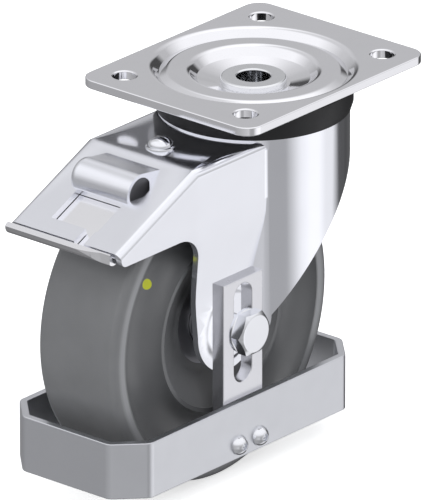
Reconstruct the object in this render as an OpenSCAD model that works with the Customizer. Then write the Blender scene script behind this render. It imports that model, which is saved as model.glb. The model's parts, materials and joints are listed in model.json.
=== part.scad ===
// Swivel castor: pressed steel fork on a double ball race under a bolt-on plate,
// a plastic wheel on two ball bearings, a toe brake under the fork's hood
// and a bent steel foot guard that hangs from the axle bolt on two slotted straps.
// Millimetres. +X points to the brake pedal, +Y to the bolt head and +Z up.
// The origin is on the swivel axis, in the plate's top face.

/* [Main sizes] */
// Height of the plate's top face above the wheel
wheel_headroom = 25; // [24:0.5:28]
// Distance of the wheel axle from the swivel axis
trail = 41; // [39:1:44]

/* [Top plate] */
// Length of the plate
plate_l = 105; // [102:1:115]
// Width of the plate
plate_w = 85; // [84:1:95]
// Thickness of the plate sheet
plate_t = 3.5; // [3.2:0.1:3.8]
// Radius of the plate corners
plate_corner_r = 7; // [3:1:8]
// Distance between the bolt holes along the plate
bolt_pitch_x = 80; // [78:1:84]
// Distance between the bolt holes across the plate
bolt_pitch_y = 60; // [58:1:64]
// Diameter of the bolt holes
bolt_hole_d = 9; // [8:0.5:10]
// Width of the coined rim round each bolt hole
coined_rim_w = 0.8; // [0.4:0.1:1]

/* [Swivel head] */
// Diameter of the upper balls
upper_ball_d = 9; // [8.6:0.2:9.4]
// Radius of the upper ball track
upper_track_r = 29; // [28.5:0.5:29.5]
// Number of upper balls
upper_ball_count = 18; // [12:1:18]
// Diameter of the lower balls
lower_ball_d = 6; // [5.6:0.2:6.4]
// Radius of the lower ball track
lower_track_r = 15; // [14.5:0.5:15.5]
// Number of lower balls
lower_ball_count = 14; // [10:1:14]
// Bore of the hollow kingpin
kingpin_bore_d = 13; // [10:0.5:14]
// Diameter of the kingpin shank
kingpin_d = 20; // [18:0.5:21]
// Outer diameter of the kingpin's upper collar
collar_d = 25.4; // [24:0.2:26]
// How far the dust seal stands out past the fork head
seal_lip = 1.3; // [1:0.1:1.8]

/* [Fork] */
// Thickness of the fork sheet
sheet_t = 2.5; // [2:0.1:3]
// Outer radius of the round fork head
head_r = 36.7; // [35.5:0.1:37]
// Width of the fork over its cheeks
fork_w = 54.6; // [53:0.2:56]
// Outer radius of the long bends
bend_r = 3; // [2.6:0.1:4]
// Drop of the flat web below the fork head
web_step = 3.6; // [3:0.1:4]
// Distance from the swivel axis to the ridge between web and cover
ridge_x = 64.5; // [62:0.5:66]
// Slope of the cover
cover_angle = 24; // [23:0.5:25]
// Distance from the swivel axis to the front edge of the cover
cover_front_x = 108.2; // [106:0.1:109]
// Clearance between the wheel and each leg
leg_clearance = 1.1; // [0.9:0.1:1.6]
// Radius of the leg ends
leg_end_r = 18; // [16:0.5:19]
// Height of the embossed boss on each leg
boss_h = 1.3; // [1:0.1:1.6]

/* [Wheel] */
// Wheel diameter
wheel_d = 125; // [122:1:126]
// Wheel width
wheel_w = 38.4; // [37.6:0.2:39]
// Radius of the tread's edges
tread_edge_r = 3.3; // [2:0.1:4]
// Outer diameter of the wheel bearings
bearing_d = 35; // [32:1:36]
// Bore of the wheel bearings
bearing_bore = 15; // [14:0.5:16]
// Width of one wheel bearing
bearing_w = 11; // [10:0.5:12]
// Diameter of the coloured dot on the wheel
dot_d = 4.7; // [3:0.1:5]

/* [Brake] */
// Diameter of the pedal's pin
pin_d = 7; // [6:0.2:7.4]
// Outer radius of the pedal's eye
eye_r = 5.8; // [5.4:0.1:5.9]
// Pedal travel in degrees
pedal_travel = 12; // [8:1:12]
// Gap left between the shoe and the tread at full travel
shoe_gap = 0.3; // [0.3:0.05:0.5]
// Diameter of the domed rivet on the web
web_rivet_d = 11.5; // [9:0.5:12]

/* [Foot guard] */
// Gap between the wheel and the guard's ends
guard_end_gap = 2.8; // [2.4:0.1:5]
// Height of the guard band
guard_h = 22.5; // [18:0.5:26]
// Height of the guard's lower edge above the ground
guard_clearance = 12.5; // [12:0.5:16]
// Thickness of the guard band
guard_t = 3; // [2:0.1:3.5]
// Size of the guard's corner chamfers
guard_chamfer = 11.5; // [8:0.5:14]
// Outer bend radius of the guard's corners
guard_bend_r = 4.5; // [3.6:0.1:6]
// Width of the straps
strap_w = 22.8; // [20:0.2:24]
// Thickness of the straps
strap_t = 5.7; // [5:0.1:6]
// Height of the strap's top edge above the axle
strap_above_axle = 21; // [19:0.5:23]
// Clearance of the axle bolt in the strap's slot
slot_clearance = 0.4; // [0.3:0.1:0.8]

/* [Fasteners] */
// Diameter of the axle bolt
axle_bolt_d = 10; // [9:0.5:10]
// Width across the flats of the bolt head and nut
hex_flats = 16; // [15:0.5:17]
// Diameter of the washers
washer_d = 17.4; // [16:0.2:18]
// Thickness of the washers
washer_t = 1.6; // [1.2:0.1:2]
// Distance between the two guard screws of one side
screw_pitch = 12; // [10:0.5:13]
// Diameter of the guard screws' heads
screw_head_d = 8; // [7:0.2:8.4]

/* [Hidden] */
$fn = 96;

zinc = [0.80, 0.80, 0.83];
polished = [0.90, 0.90, 0.93];
ball_steel = [0.70, 0.71, 0.74];
dark_steel = [0.22, 0.22, 0.24];
black_rubber = [0.11, 0.11, 0.12];
wheel_grey = [0.42, 0.42, 0.43];
dot_yellow = [0.73, 0.74, 0.12];
far_off = 200;
running_gap = 0.05;
bend_step = 5;
fillet_lap = 0.01;
ridge_lap = 0.02;
track_gap = 0.1;
soft_gap = 0.3;

total_h = wheel_d + wheel_headroom;
wheel_r = wheel_d / 2;
axle_z = wheel_r - total_h;
cheek_y = fork_w / 2;

// Pressed centre of the plate, as top-face points of radius, height and bend radius
press_r = 40.6;
ring_drop = 1.6;
collar_seat_z = -7;
press_points = [
    [kingpin_d / 2, collar_seat_z, 0], [14, collar_seat_z, 2.5], [21.6, -4.4, 3],
    [26.5, -ring_drop, 3], [31.4, -ring_drop, 4], [35.6, -3.2, 4], [press_r, 0, 3], [press_r + 3, 0, 0]
];

// Stack of the swivel bearing
plate_race_z = -ring_drop - plate_t;
upper_bite = 0.35;
head_z = plate_race_z - upper_ball_d + 2 * upper_bite;
upper_ball_z = (plate_race_z + head_z) / 2;
head_under_z = head_z - sheet_t;
lower_bite = 0.45;
lower_ball_z = head_under_z + lower_bite - lower_ball_d / 2;
race_top_z = lower_ball_z - 2.1;
race_t = 3.7;
race_r = lower_track_r + 4.5;
kingpin_foot_t = 2.7;
kingpin_foot_r = kingpin_d / 2 + 3;
kingpin_bottom_z = race_top_z - race_t - kingpin_foot_t;
collar_h = 2.7;
seal_r = head_r + seal_lip;
seal_w = 3.6;

// Fork
web_z = head_z - web_step;
head_edge_r = 2.5;
inner_bend_r = bend_r - sheet_t + 0.4;
cover_corner_x = (cover_front_x - ridge_x + sheet_t * sin(cover_angle)) / cos(cover_angle);
cover_corner_z = web_z - cover_corner_x * sin(cover_angle) - sheet_t * cos(cover_angle);
cheek_bottom_z = -42.5;
cheek_tip_r = 3;
arch_r = 12;
leg_front_x = trail + leg_end_r + 3.5;
skirt_sag = 2.9;
skirt_back_z = -23;
corner_fillet_r = 4;
leg_gap = wheel_w + 2 * leg_clearance;
leg_y = leg_gap / 2 + sheet_t;
boss_r = 15;
boss_top_r = 12;
joggle_l = 27;
joggle_bend_r = 60;
joggle_end_z = axle_z + boss_r;
joggle_top_z = joggle_end_z + joggle_l;
joggle_start_z = joggle_top_z + 6;
leg_bottom_z = axle_z - leg_end_r - 5;

// Hump, window and notch in the cover, measured along its slope from the ridge
hinge_x = 17;
hinge_z = -1;
hump_bore_r = eye_r + soft_gap;
hump_wall = 1.5;
hump_r = hump_bore_r + hump_wall;
hump_near_y = 12;
hump_far_y = -17.6;
hump_end_r = 3.4;
ramp_x = 4.2;
dish_near_y = 17;
bush_w = 4;
window_x = [25, 41.6];
window_y = [-12.4, 10.3];
notch_y = [4.5, 9.5];
rivet_x = 54;
web_rivet_shank_r = 3;

// Pedal
pedal_t = 2.5;
pedal_drop = sheet_t + soft_gap;
pedal_inner_y = cheek_y - sheet_t - 1.2;
lip_start_x = cover_front_x + 1.5;
lip_gap = 3 * soft_gap;
lip_rise = 0.2;
lip_bend_r = 2.2;
lip_curve_y = 4;
lip_sweep = 4.3;
shoe_l = 7.4;
shoe_x = [hinge_x + hump_r, hinge_x + hump_r + shoe_l];
shoe_half_w = 20;
shoe_blank_h = 12;
shoe_rivet_x = (shoe_x[0] + shoe_x[1]) / 2;
shoe_rivet_y = 16.5;
shoe_rivet_r = 2;
shoe_rivet_bite = 4;
spring_t = 1;
spring_w = 14;

// Guard and straps
clamp_gap = 0.03;
boss_face_y = leg_y + boss_h;
strap_in_y = boss_face_y + clamp_gap;
strap_out_y = strap_in_y + strap_t;
guard_y = strap_out_y + guard_t;
guard_l = wheel_d + 2 * (guard_end_gap + guard_t);
slot_w = axle_bolt_d + slot_clearance;
guard_bottom_z = guard_clearance - total_h;
guard_top_z = guard_bottom_z + guard_h;
strap_bottom_z = guard_bottom_z + 1.5;
strap_top_z = axle_z + strap_above_axle;
slot_top_z = axle_z + 13.7;
slot_bottom_z = axle_z - 15.9;
screw_z = guard_bottom_z + 5.5;
screw_r = 2.5;
screw_head_h = 3.5;

// Axle
washer_y = strap_out_y + clamp_gap;
head_seat_y = washer_y + washer_t;
bolt_head_h = 4.9;
nut_h = 8;
sleeve_r = bearing_bore / 2;
sleeve_half_l = leg_gap / 2 + boss_h;
bearing_in_y = 1.5;
bearing_out_y = bearing_in_y + bearing_w;

// Wheel face
rim_w = 6.8;
groove_depth = 8;
groove_out_r = wheel_r - rim_w;
hub_r = bearing_d / 2 + 3.5;
hub_ring_r = hub_r + 12;
groove_in_r = hub_ring_r + 2;
dot_r = groove_out_r - 6.05;
dot_angle = 34.33;

function turn(a, b) = atan2(b[1] - a[1], b[0] - a[0]);
function at(p, i) = p[(i + len(p)) % len(p)];
function bend_at(p, i) = (turn(at(p, i), at(p, i + 1)) - turn(at(p, i - 1), at(p, i)) + 540) % 360 - 180;

// Points of one bend, moved sideways by off; positive is to the left of the path
function bend_points(p, i, off) =
    let (
        a = turn(at(p, i - 1), at(p, i)),
        b = bend_at(p, i),
        side = b > 0 ? 1 : -1,
        r = p[i][2],
        setback = r * tan(abs(b) / 2),
        center = [p[i][0] - setback * cos(a) - side * r * sin(a), p[i][1] - setback * sin(a) + side * r * cos(a)],
        steps = ceil(abs(b) / bend_step)
    )
    [for (k = [0 : steps]) let (q = a - side * 90 + b * k / steps) center + (r - side * off) * [cos(q), sin(q)]];

function end_point(p, i, off) =
    let (a = i == 0 ? turn(p[0], p[1]) : turn(p[i - 1], p[i]))
    [p[i][0] - off * sin(a), p[i][1] + off * cos(a)];

function edge_points(p, off) =
    [for (i = [0 : len(p) - 1]) each p[i][2] == 0 ? [end_point(p, i, off)] : bend_points(p, i, off)];

// Sheet of thickness t along the points p, each x, y and the bend radius of the middle layer
module bent_sheet(p, t) {
    right = edge_points(p, -t / 2);
    polygon(concat(edge_points(p, t / 2), [for (i = [len(right) - 1 : -1 : 0]) right[i]]));
}

// The same for a strip that closes on itself, drawn counterclockwise
module closed_band(p, t) {
    difference() {
        polygon(edge_points(p, -t / 2));
        polygon(edge_points(p, t / 2));
    }
}

module rounded_rect(l, w, r) {
    square([l, w - 2 * r], center = true);
    square([l - 2 * r, w], center = true);
    for (x = [-1, 1], y = [-1, 1])
        translate([x * (l / 2 - r), y * (w / 2 - r)]) circle(r);
}

// Extrudes a side view in X and Z over the given range of Y
module side_extrude(y0, y1) {
    translate([0, y1, 0]) rotate([90, 0, 0]) linear_extrude(y1 - y0) children();
}

// Turns a radius and Y profile about the wheel axle
module about_axle() {
    translate([trail, 0, axle_z]) rotate([-90, 0, 0]) rotate_extrude() children();
}

// Bar of radius r along Y, from y0 to y1, on the wheel axle
module axle_bar(r, y0, y1) {
    translate([trail, y1, axle_z]) rotate([90, 0, 0]) cylinder(r = r, h = y1 - y0);
}

// Frame of the sloping cover: X runs down the slope from the ridge and Z is square to it
module on_cover() {
    translate([ridge_x, 0, web_z]) rotate([0, cover_angle, 0]) children();
}

// Bar of radius r along Y on the pedal's hinge line
module hinge_bar(r, y0, y1) {
    on_cover() translate([hinge_x, y1, hinge_z]) rotate([90, 0, 0]) cylinder(r = r, h = y1 - y0);
}

// Ring of balls
module ball_ring(track_r, d, count) {
    for (i = [0 : count - 1]) rotate(i * 360 / count) translate([track_r, 0]) sphere(d = d);
}

// Plate

module press_profile() {
    middle = [for (p = press_points) [p[0], p[1] - plate_t / 2, p[2]]];
    bent_sheet(middle, plate_t);
}

module top_plate() {
    color(zinc) difference() {
        union() {
            difference() {
                translate([0, 0, -plate_t]) linear_extrude(plate_t)
                    rounded_rect(plate_l, plate_w, plate_corner_r);
                translate([0, 0, -plate_t - 1]) cylinder(r = press_r + 3, h = plate_t + 2);
            }
            intersection() {
                rotate_extrude() press_profile();
                translate([0, 0, -far_off]) linear_extrude(2 * far_off)
                    rounded_rect(plate_l, plate_w, plate_corner_r);
            }
        }
        for (x = [-1, 1], y = [-1, 1]) translate([x * bolt_pitch_x / 2, y * bolt_pitch_y / 2]) {
            translate([0, 0, -plate_t - 1]) cylinder(d = bolt_hole_d, h = plate_t + 2);
            translate([0, 0, -coined_rim_w / 2])
                cylinder(d1 = bolt_hole_d, d2 = bolt_hole_d + 2 * coined_rim_w, h = coined_rim_w / 2 + 0.01);
        }
        rotate_extrude() translate([upper_track_r, upper_ball_z]) circle(upper_ball_d / 2 + track_gap);
    }
}

module kingpin() {
    bore_r = kingpin_bore_d / 2;
    shank_r = kingpin_d / 2;
    collar_top_z = collar_seat_z + collar_h;
    rim = 0.6;
    color(polished) rotate_extrude() polygon([
        [bore_r, kingpin_bottom_z], [kingpin_foot_r - rim, kingpin_bottom_z],
        [kingpin_foot_r, kingpin_bottom_z + rim], [kingpin_foot_r, kingpin_bottom_z + kingpin_foot_t],
        [shank_r, kingpin_bottom_z + kingpin_foot_t], [shank_r, collar_seat_z],
        [collar_d / 2, collar_seat_z], [collar_d / 2, collar_top_z - rim],
        [collar_d / 2 - rim, collar_top_z], [bore_r + rim, collar_top_z], [bore_r, collar_top_z - rim]
    ]);
}

module lower_race() {
    lip = 1.2;
    color(ball_steel) rotate_extrude() difference() {
        union() {
            translate([kingpin_d / 2, race_top_z - race_t]) square([race_r - kingpin_d / 2, race_t]);
            translate([race_r - lip, race_top_z - 1]) square([lip, 1 + lip]);
        }
        translate([lower_track_r, lower_ball_z]) circle(lower_ball_d / 2 + track_gap);
    }
}

module upper_balls() {
    color(ball_steel) translate([0, 0, upper_ball_z])
        ball_ring(upper_track_r, upper_ball_d, upper_ball_count);
}

module lower_balls() {
    color(ball_steel) translate([0, 0, lower_ball_z])
        ball_ring(lower_track_r, lower_ball_d, lower_ball_count);
}

module dust_seal() {
    skirt_z = head_z - head_edge_r;
    top_z = -ring_drop - plate_t - 2;
    color(black_rubber) rotate_extrude() difference() {
        polygon([
            [seal_r - seal_w, head_z], [seal_r - seal_w, top_z], [seal_r - 1, top_z], [seal_r, top_z + 1],
            [seal_r, head_z], [head_r + 0.4, skirt_z - 0.3], [head_r, skirt_z - 0.3], [head_r, skirt_z]
        ]);
        translate([head_r - head_edge_r, skirt_z]) circle(head_edge_r);
        translate([0, skirt_z]) square([head_r - head_edge_r, head_edge_r]);
    }
}

// Fork

// Round head and skirt, grown inwards by inset
module head_body(inset) {
    r = head_r - inset;
    edge = max(head_edge_r - inset, 0.2);
    top_z = head_z - inset;
    rotate_extrude() {
        translate([0, leg_bottom_z]) square([r, top_z - edge - leg_bottom_z]);
        translate([0, top_z - edge - 1]) square([r - edge, edge + 1]);
        translate([r - edge, top_z - edge]) circle(edge);
    }
}

// Section of the hood with rounded top edges, in Y and Z
module hood_section(inset, r, top_z, low_z) {
    y = cheek_y - inset;
    translate([-y, low_z]) square([2 * y, top_z - r - low_z]);
    translate([r - y, top_z - r - 1]) square([2 * (y - r), r + 1]);
    for (s = [-1, 1]) translate([s * (y - r), top_z - r]) circle(r);
}

// Legs with their soft joggle towards the wheel, in Y and Z
module leg_section(inset) {
    outline = edge_points([
        [cheek_y, joggle_start_z, 0], [cheek_y, joggle_top_z, joggle_bend_r],
        [leg_y, joggle_end_z, joggle_bend_r], [leg_y, leg_bottom_z, 0]
    ], -inset);
    polygon(concat(outline, [for (i = [len(outline) - 1 : -1 : 0]) [-outline[i][0], outline[i][1]]]));
}

module along_x(x0, x1) {
    translate([x0, 0, 0]) rotate([90, 0, 90]) linear_extrude(x1 - x0) children();
}

// Hood and legs, grown inwards by inset
module hood_body(inset, r) {
    intersection() {
        along_x(0, far_off) {
            hood_section(inset, r, web_z - inset, joggle_start_z);
            leg_section(inset);
        }
        on_cover() along_x(-far_off, far_off) hood_section(inset, r + ridge_lap, -inset, -far_off);
    }
}

// Concave bends where the cheeks run into the round head
module corner_fillets() {
    reach = head_r + corner_fillet_r - fillet_lap;
    cy = cheek_y + corner_fillet_r - fillet_lap;
    cx = sqrt(reach * reach - cy * cy);
    for (s = [-1, 1]) scale([1, s, 1]) translate([0, 0, joggle_start_z])
        linear_extrude(web_z - bend_r - joggle_start_z) difference() {
            polygon([
                [cx - 3, cheek_y - 1], [cx, cheek_y - 1], [cx, cy], [cx * head_r / reach, cy * head_r / reach]
            ]);
            translate([cx, cy]) circle(corner_fillet_r);
        }
}

// Side view of the fork
module fork_side() {
    heel = [trail - leg_end_r, axle_z];
    back = [-head_r, skirt_back_z];
    chord = back - heel;
    half = norm(chord) / 2;
    skirt_r = (half * half + skirt_sag * skirt_sag) / (2 * skirt_sag);
    normal = [chord[1], -chord[0]] / norm(chord);
    skirt_center = (heel + back) / 2 - (skirt_r - skirt_sag) * normal;
    difference() {
        union() {
            polygon([
                [-head_r - 1, 0], [cover_front_x - cover_corner_z * tan(cover_angle), 0],
                [cover_front_x, cover_corner_z], [cover_front_x, cheek_bottom_z],
                [leg_front_x, cheek_bottom_z], [leg_front_x, cheek_bottom_z - arch_r],
                [trail + leg_end_r, axle_z], heel, back, [-head_r - 1, skirt_back_z]
            ]);
            translate([trail, axle_z]) circle(leg_end_r);
            difference() {
                translate([leg_front_x - 1, cheek_bottom_z - arch_r]) square([arch_r + 1, arch_r + 1]);
                translate([leg_front_x + arch_r, cheek_bottom_z - arch_r]) circle(arch_r);
            }
        }
        difference() {
            translate([cover_front_x - cheek_tip_r, cheek_bottom_z - 1]) square([cheek_tip_r + 1, cheek_tip_r + 1]);
            translate([cover_front_x - cheek_tip_r, cheek_bottom_z + cheek_tip_r]) circle(cheek_tip_r);
        }
        intersection() {
            translate(skirt_center) circle(skirt_r, $fn = 360);
            translate([-far_off, axle_z]) square([far_off + trail, far_off]);
        }
    }
}

// Bosses pressed outwards round the axle, grown inwards by inset
module leg_bosses(inset) {
    for (s = [-1, 1]) scale([1, s, 1])
        translate([trail, leg_y - inset - 0.5, axle_z]) rotate([-90, 0, 0]) {
            cylinder(r = boss_r - inset, h = 0.5);
            translate([0, 0, 0.5]) cylinder(r1 = boss_r - inset, r2 = boss_top_r - inset, h = boss_h);
        }
}

// Frame of the hinge, with Z along the pin towards -Y
module on_hinge() {
    on_cover() translate([hinge_x, 0, hinge_z]) rotate([90, 0, 0]) children();
}

// Side view of the ramp that rises from the cover to a hump of radius r about the hinge
module ramp_side(r, foot_x) {
    seat_r = r - ridge_lap;
    reach = norm([hinge_x - foot_x, hinge_z]);
    lean = atan2(-hinge_z, hinge_x - foot_x) + acos(seat_r / reach);
    polygon([
        [foot_x, 0], [hinge_x - seat_r * cos(lean), hinge_z + seat_r * sin(lean)],
        [hinge_x, hinge_z], [hinge_x, -sheet_t / 2], [foot_x, -sheet_t / 2]
    ]);
}

// Hump over the hinge with a ramp behind it, one closed end, lanced straps round the bushes
// and a dish beside the open end
module hump_outer() {
    on_hinge() {
        intersection() {
            translate([0, 0, -hump_near_y]) cylinder(r = hump_r, h = hump_near_y - hump_far_y - hump_end_r);
            translate([-hump_r, 0, -hump_near_y]) cube([2 * hump_r, hump_r, hump_near_y - hump_far_y]);
        }
        translate([0, 0, -hump_near_y]) cylinder(r = hump_r, h = bush_w);
        translate([0, 0, -hump_far_y - hump_wall - bush_w]) rotate_extrude() {
            square([hump_r, bush_w + hump_wall - hump_end_r]);
            square([hump_r - hump_end_r, bush_w + hump_wall]);
            translate([hump_r - hump_end_r, bush_w + hump_wall - hump_end_r]) intersection() {
                circle(hump_end_r);
                square(hump_end_r);
            }
        }
        translate([0, 0, -dish_near_y]) cylinder(r1 = hump_r - 4, r2 = hump_r, h = dish_near_y - hump_near_y);
    }
    on_cover() side_extrude(hump_far_y + hump_end_r, hump_near_y) ramp_side(hump_r, ramp_x);
}

module hump_bore() {
    on_hinge() {
        translate([0, 0, -hump_near_y - 0.01])
            cylinder(r = hump_bore_r, h = hump_near_y - hump_far_y - hump_wall + 0.01);
        translate([0, 0, -dish_near_y + hump_wall])
            cylinder(r1 = hump_bore_r - 4, r2 = hump_bore_r, h = dish_near_y - hump_near_y - hump_wall);
    }
}

// Hollow under the ramp, between the straps round the bushes
module ramp_hollow() {
    on_cover() side_extrude(hump_far_y + hump_wall + bush_w, hump_near_y - bush_w) {
        ramp_side(hump_bore_r, ramp_x + 3);
        translate([ramp_x + 3, -2 * sheet_t]) square([hinge_x - ramp_x - 3, 2 * sheet_t]);
    }
}

module fork() {
    color(polished) difference() {
        union() {
            intersection() {
                difference() {
                    union() {
                        head_body(0);
                        hood_body(0, bend_r);
                        corner_fillets();
                    }
                    head_body(sheet_t);
                    hood_body(sheet_t, inner_bend_r);
                }
                side_extrude(-far_off, far_off) fork_side();
            }
            difference() {
                leg_bosses(0);
                leg_bosses(sheet_t);
            }
            hump_outer();
        }
        leg_bosses(sheet_t);
        hump_bore();
        ramp_hollow();
        // above the dish the hump is open
        on_cover() {
            translate([hinge_x - hump_r - 1, hump_near_y, 0]) cube([2 * hump_r + 2, dish_near_y, hump_r]);
            translate([window_x[0], window_y[0], -sheet_t - 5])
                cube([window_x[1] - window_x[0], window_y[1] - window_y[0], sheet_t + 6]);
            translate([window_x[1] - 1, notch_y[0], -sheet_t - 5])
                cube([far_off / 4, notch_y[1] - notch_y[0], sheet_t + 6]);
        }
        axle_bar(axle_bolt_d / 2 + track_gap, -far_off, far_off);
        translate([0, 0, head_under_z - 1]) cylinder(r = kingpin_d / 2 + 0.6, h = sheet_t + 2);
        rotate_extrude() translate([upper_track_r, upper_ball_z]) circle(upper_ball_d / 2 + track_gap);
        rotate_extrude() translate([lower_track_r, lower_ball_z]) circle(lower_ball_d / 2 + track_gap);
        translate([rivet_x, 0, web_z - sheet_t - 1]) cylinder(r = web_rivet_shank_r, h = sheet_t + 2);
    }
}

module web_rivet() {
    collar = 1;
    dome_h = 3.2;
    dome_r = web_rivet_d / 2 - 1;
    ball_r = (dome_r * dome_r + dome_h * dome_h) / (2 * dome_h);
    tail_h = 1.8;
    color(polished) translate([rivet_x, 0, web_z]) rotate_extrude() {
        square([web_rivet_d / 2, collar]);
        translate([0, -sheet_t - spring_t - 1]) square([web_rivet_shank_r, sheet_t + spring_t + 2]);
        translate([0, -sheet_t - spring_t - tail_h]) square([web_rivet_shank_r + 1.5, tail_h]);
        intersection() {
            translate([0, collar + dome_h - ball_r]) circle(ball_r);
            translate([0, collar - 0.1]) square([dome_r, dome_h + 1]);
        }
    }
}

module detent_spring() {
    x0 = rivet_x - 8;
    z0 = web_z - sheet_t - spring_t / 2;
    reach = hinge_x - eye_r - soft_gap;
    bend_x = ridge_x - (sheet_t + spring_t / 2) * tan(cover_angle / 2);
    d = reach - (sheet_t + spring_t / 2) * tan(cover_angle / 2);
    color(dark_steel) difference() {
        side_extrude(-spring_w / 2, spring_w / 2) bent_sheet([
            [x0, z0, 0], [bend_x, z0, 2], [bend_x + d * cos(cover_angle), z0 - d * sin(cover_angle), 0]
        ], spring_t);
        translate([rivet_x, 0, z0 - spring_t]) cylinder(r = web_rivet_shank_r, h = 2 * spring_t);
    }
}

module pedal_pin() {
    color(dark_steel) hinge_bar(pin_d / 2, hump_far_y + hump_wall, hump_near_y - 0.4);
}

module pin_bush(y0) {
    color(dark_steel) difference() {
        hinge_bar(hump_bore_r, y0, y0 + bush_w);
        hinge_bar(pin_d / 2, y0 - 1, y0 + bush_w + 1);
    }
}

module pin_bush_near() {
    pin_bush(hump_near_y - bush_w - 0.4);
}

module pin_bush_far() {
    pin_bush(hump_far_y + hump_wall);
}

// Brake

// Plan of the pedal: narrow between the cheeks, full width at the lip and swept back at its near end
module pedal_plan() {
    lip_out = cover_corner_x + lip_gap + pedal_t;
    lip_front_x = ridge_x + lip_out * cos(cover_angle) + lip_rise * sin(cover_angle) + 0.1;
    run = cheek_y - lip_curve_y;
    curve_r = (run * run + lip_sweep * lip_sweep) / (2 * lip_sweep);
    corner = 1.2;
    translate([0, -pedal_inner_y]) square([lip_start_x + 1, 2 * pedal_inner_y]);
    intersection() {
        union() {
            translate([lip_start_x, corner - cheek_y]) square([lip_front_x - lip_start_x, 2 * cheek_y - corner]);
            translate([lip_start_x, -cheek_y]) square([lip_front_x - lip_start_x - corner, cheek_y]);
            translate([lip_front_x - corner, corner - cheek_y]) circle(corner);
        }
        union() {
            translate([0, -far_off]) square([far_off, far_off + lip_curve_y]);
            translate([lip_front_x - curve_r, lip_curve_y]) circle(curve_r, $fn = 180);
        }
    }
}

// Side view of the pedal sheet in the cover's frame, with its lip turned up in front of the cover's edge
module pedal_side() {
    mid_z = -pedal_drop - pedal_t / 2;
    lip_x = cover_corner_x + lip_gap + pedal_t / 2;
    bent_sheet([
        [hinge_x + pin_d / 2 + running_gap, mid_z, 0], [lip_x, mid_z, lip_bend_r], [lip_x, lip_rise, 0]
    ], pedal_t);
}

module brake_pedal() {
    eye_y = [hump_far_y + hump_wall + bush_w + 0.2, hump_near_y - bush_w - 0.6];
    color(polished) difference() {
        union() {
            intersection() {
                on_cover() side_extrude(-far_off, far_off) pedal_side();
                translate([0, 0, -far_off]) linear_extrude(far_off) pedal_plan();
            }
            hinge_bar(eye_r, eye_y[0], eye_y[1]);
        }
        hinge_bar(pin_d / 2 + running_gap, -far_off, far_off);
        for (s = [-1, 1]) shoe_rivet(s, shoe_rivet_r);
        // the sheet is cut away beside the eye, clear of the bushes and their straps
        for (y = [-far_off, eye_y[1]]) on_cover()
            translate([hinge_x - far_off / 4, y, -far_off / 4])
                cube([far_off / 4 + hump_r + 0.6, far_off + (y < 0 ? eye_y[0] : 0), far_off / 2]);
    }
}

module shoe_rivet(s, r) {
    on_cover() translate([shoe_rivet_x, s * shoe_rivet_y, -pedal_drop - pedal_t - shoe_rivet_bite])
        cylinder(r = r, h = pedal_t + shoe_rivet_bite);
}

module shoe_rivets() {
    color(ball_steel) for (s = [-1, 1]) shoe_rivet(s, shoe_rivet_r);
}

// The face is an arc about the axle in the pressed position, turned back about the pin
module brake_shoe() {
    color(dark_steel) difference() {
        on_cover() translate([shoe_x[0], -shoe_half_w, -pedal_drop - pedal_t - shoe_blank_h])
            cube([shoe_l, 2 * shoe_half_w, shoe_blank_h]);
        on_cover() translate([hinge_x, 0, hinge_z]) rotate([0, -pedal_travel, 0])
            translate([-hinge_x, 0, -hinge_z]) rotate([0, -cover_angle, 0]) translate([-ridge_x, 0, -web_z])
                axle_bar(wheel_r + shoe_gap, -far_off, far_off);
        for (s = [-1, 1]) shoe_rivet(s, shoe_rivet_r);
    }
}

// Axle

// Hexagonal head or nut along Y with a rounded outer edge
module hex_body(h) {
    corner_r = hex_flats / 2 / cos(30);
    face_r = 0.45 * hex_flats;
    intersection() {
        cylinder(r = corner_r, h = h, $fn = 6);
        rotate_extrude() polygon([
            [0, 0], [corner_r + 1, 0], [corner_r + 1, h - (corner_r + 1 - face_r) * tan(30)], [face_r, h], [0, h]
        ]);
    }
}

module axle_bolt() {
    color(polished) {
        translate([trail, head_seat_y, axle_z]) rotate([-90, 0, 0]) hex_body(bolt_head_h);
        axle_bar(axle_bolt_d / 2, -head_seat_y - nut_h - 2, head_seat_y + 1);
    }
}

module axle_nut() {
    color(polished) difference() {
        translate([trail, -head_seat_y, axle_z]) rotate([90, 0, 0]) rotate(10) hex_body(nut_h);
        axle_bar(axle_bolt_d / 2, -far_off, far_off);
    }
}

module axle_washer(y0, y1) {
    color(zinc) difference() {
        axle_bar(washer_d / 2, y0, y1);
        axle_bar(axle_bolt_d / 2 + track_gap, y0 - 1, y1 + 1);
    }
}

module axle_washer_near() {
    axle_washer(washer_y, head_seat_y);
}

module axle_washer_far() {
    axle_washer(-head_seat_y, -washer_y);
}

module axle_sleeve() {
    color(ball_steel) difference() {
        axle_bar(sleeve_r, -sleeve_half_l, sleeve_half_l);
        axle_bar(axle_bolt_d / 2 + track_gap, -far_off, far_off);
    }
}

// Foot guard

module guard_strap() {
    color(zinc) difference() {
        translate([trail - strap_w / 2, strap_in_y, strap_bottom_z])
            cube([strap_w, strap_t, strap_top_z - strap_bottom_z]);
        for (z = [slot_top_z, slot_bottom_z]) translate([trail, strap_in_y - 1, z])
            rotate([-90, 0, 0]) cylinder(d = slot_w, h = strap_t + 2);
        translate([trail - slot_w / 2, strap_in_y - 1, slot_bottom_z])
            cube([slot_w, strap_t + 2, slot_top_z - slot_bottom_z]);
        guard_screw_holes(screw_r, strap_in_y - 1, strap_out_y + 1);
    }
}

module guard_strap_near() {
    guard_strap();
}

module guard_strap_far() {
    scale([1, -1, 1]) guard_strap();
}

module guard_screw_holes(r, y0, y1) {
    for (s = [-1, 1]) translate([trail + s * screw_pitch / 2, y0, screw_z])
        rotate([-90, 0, 0]) cylinder(r = r, h = y1 - y0, $fn = 48);
}

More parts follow.
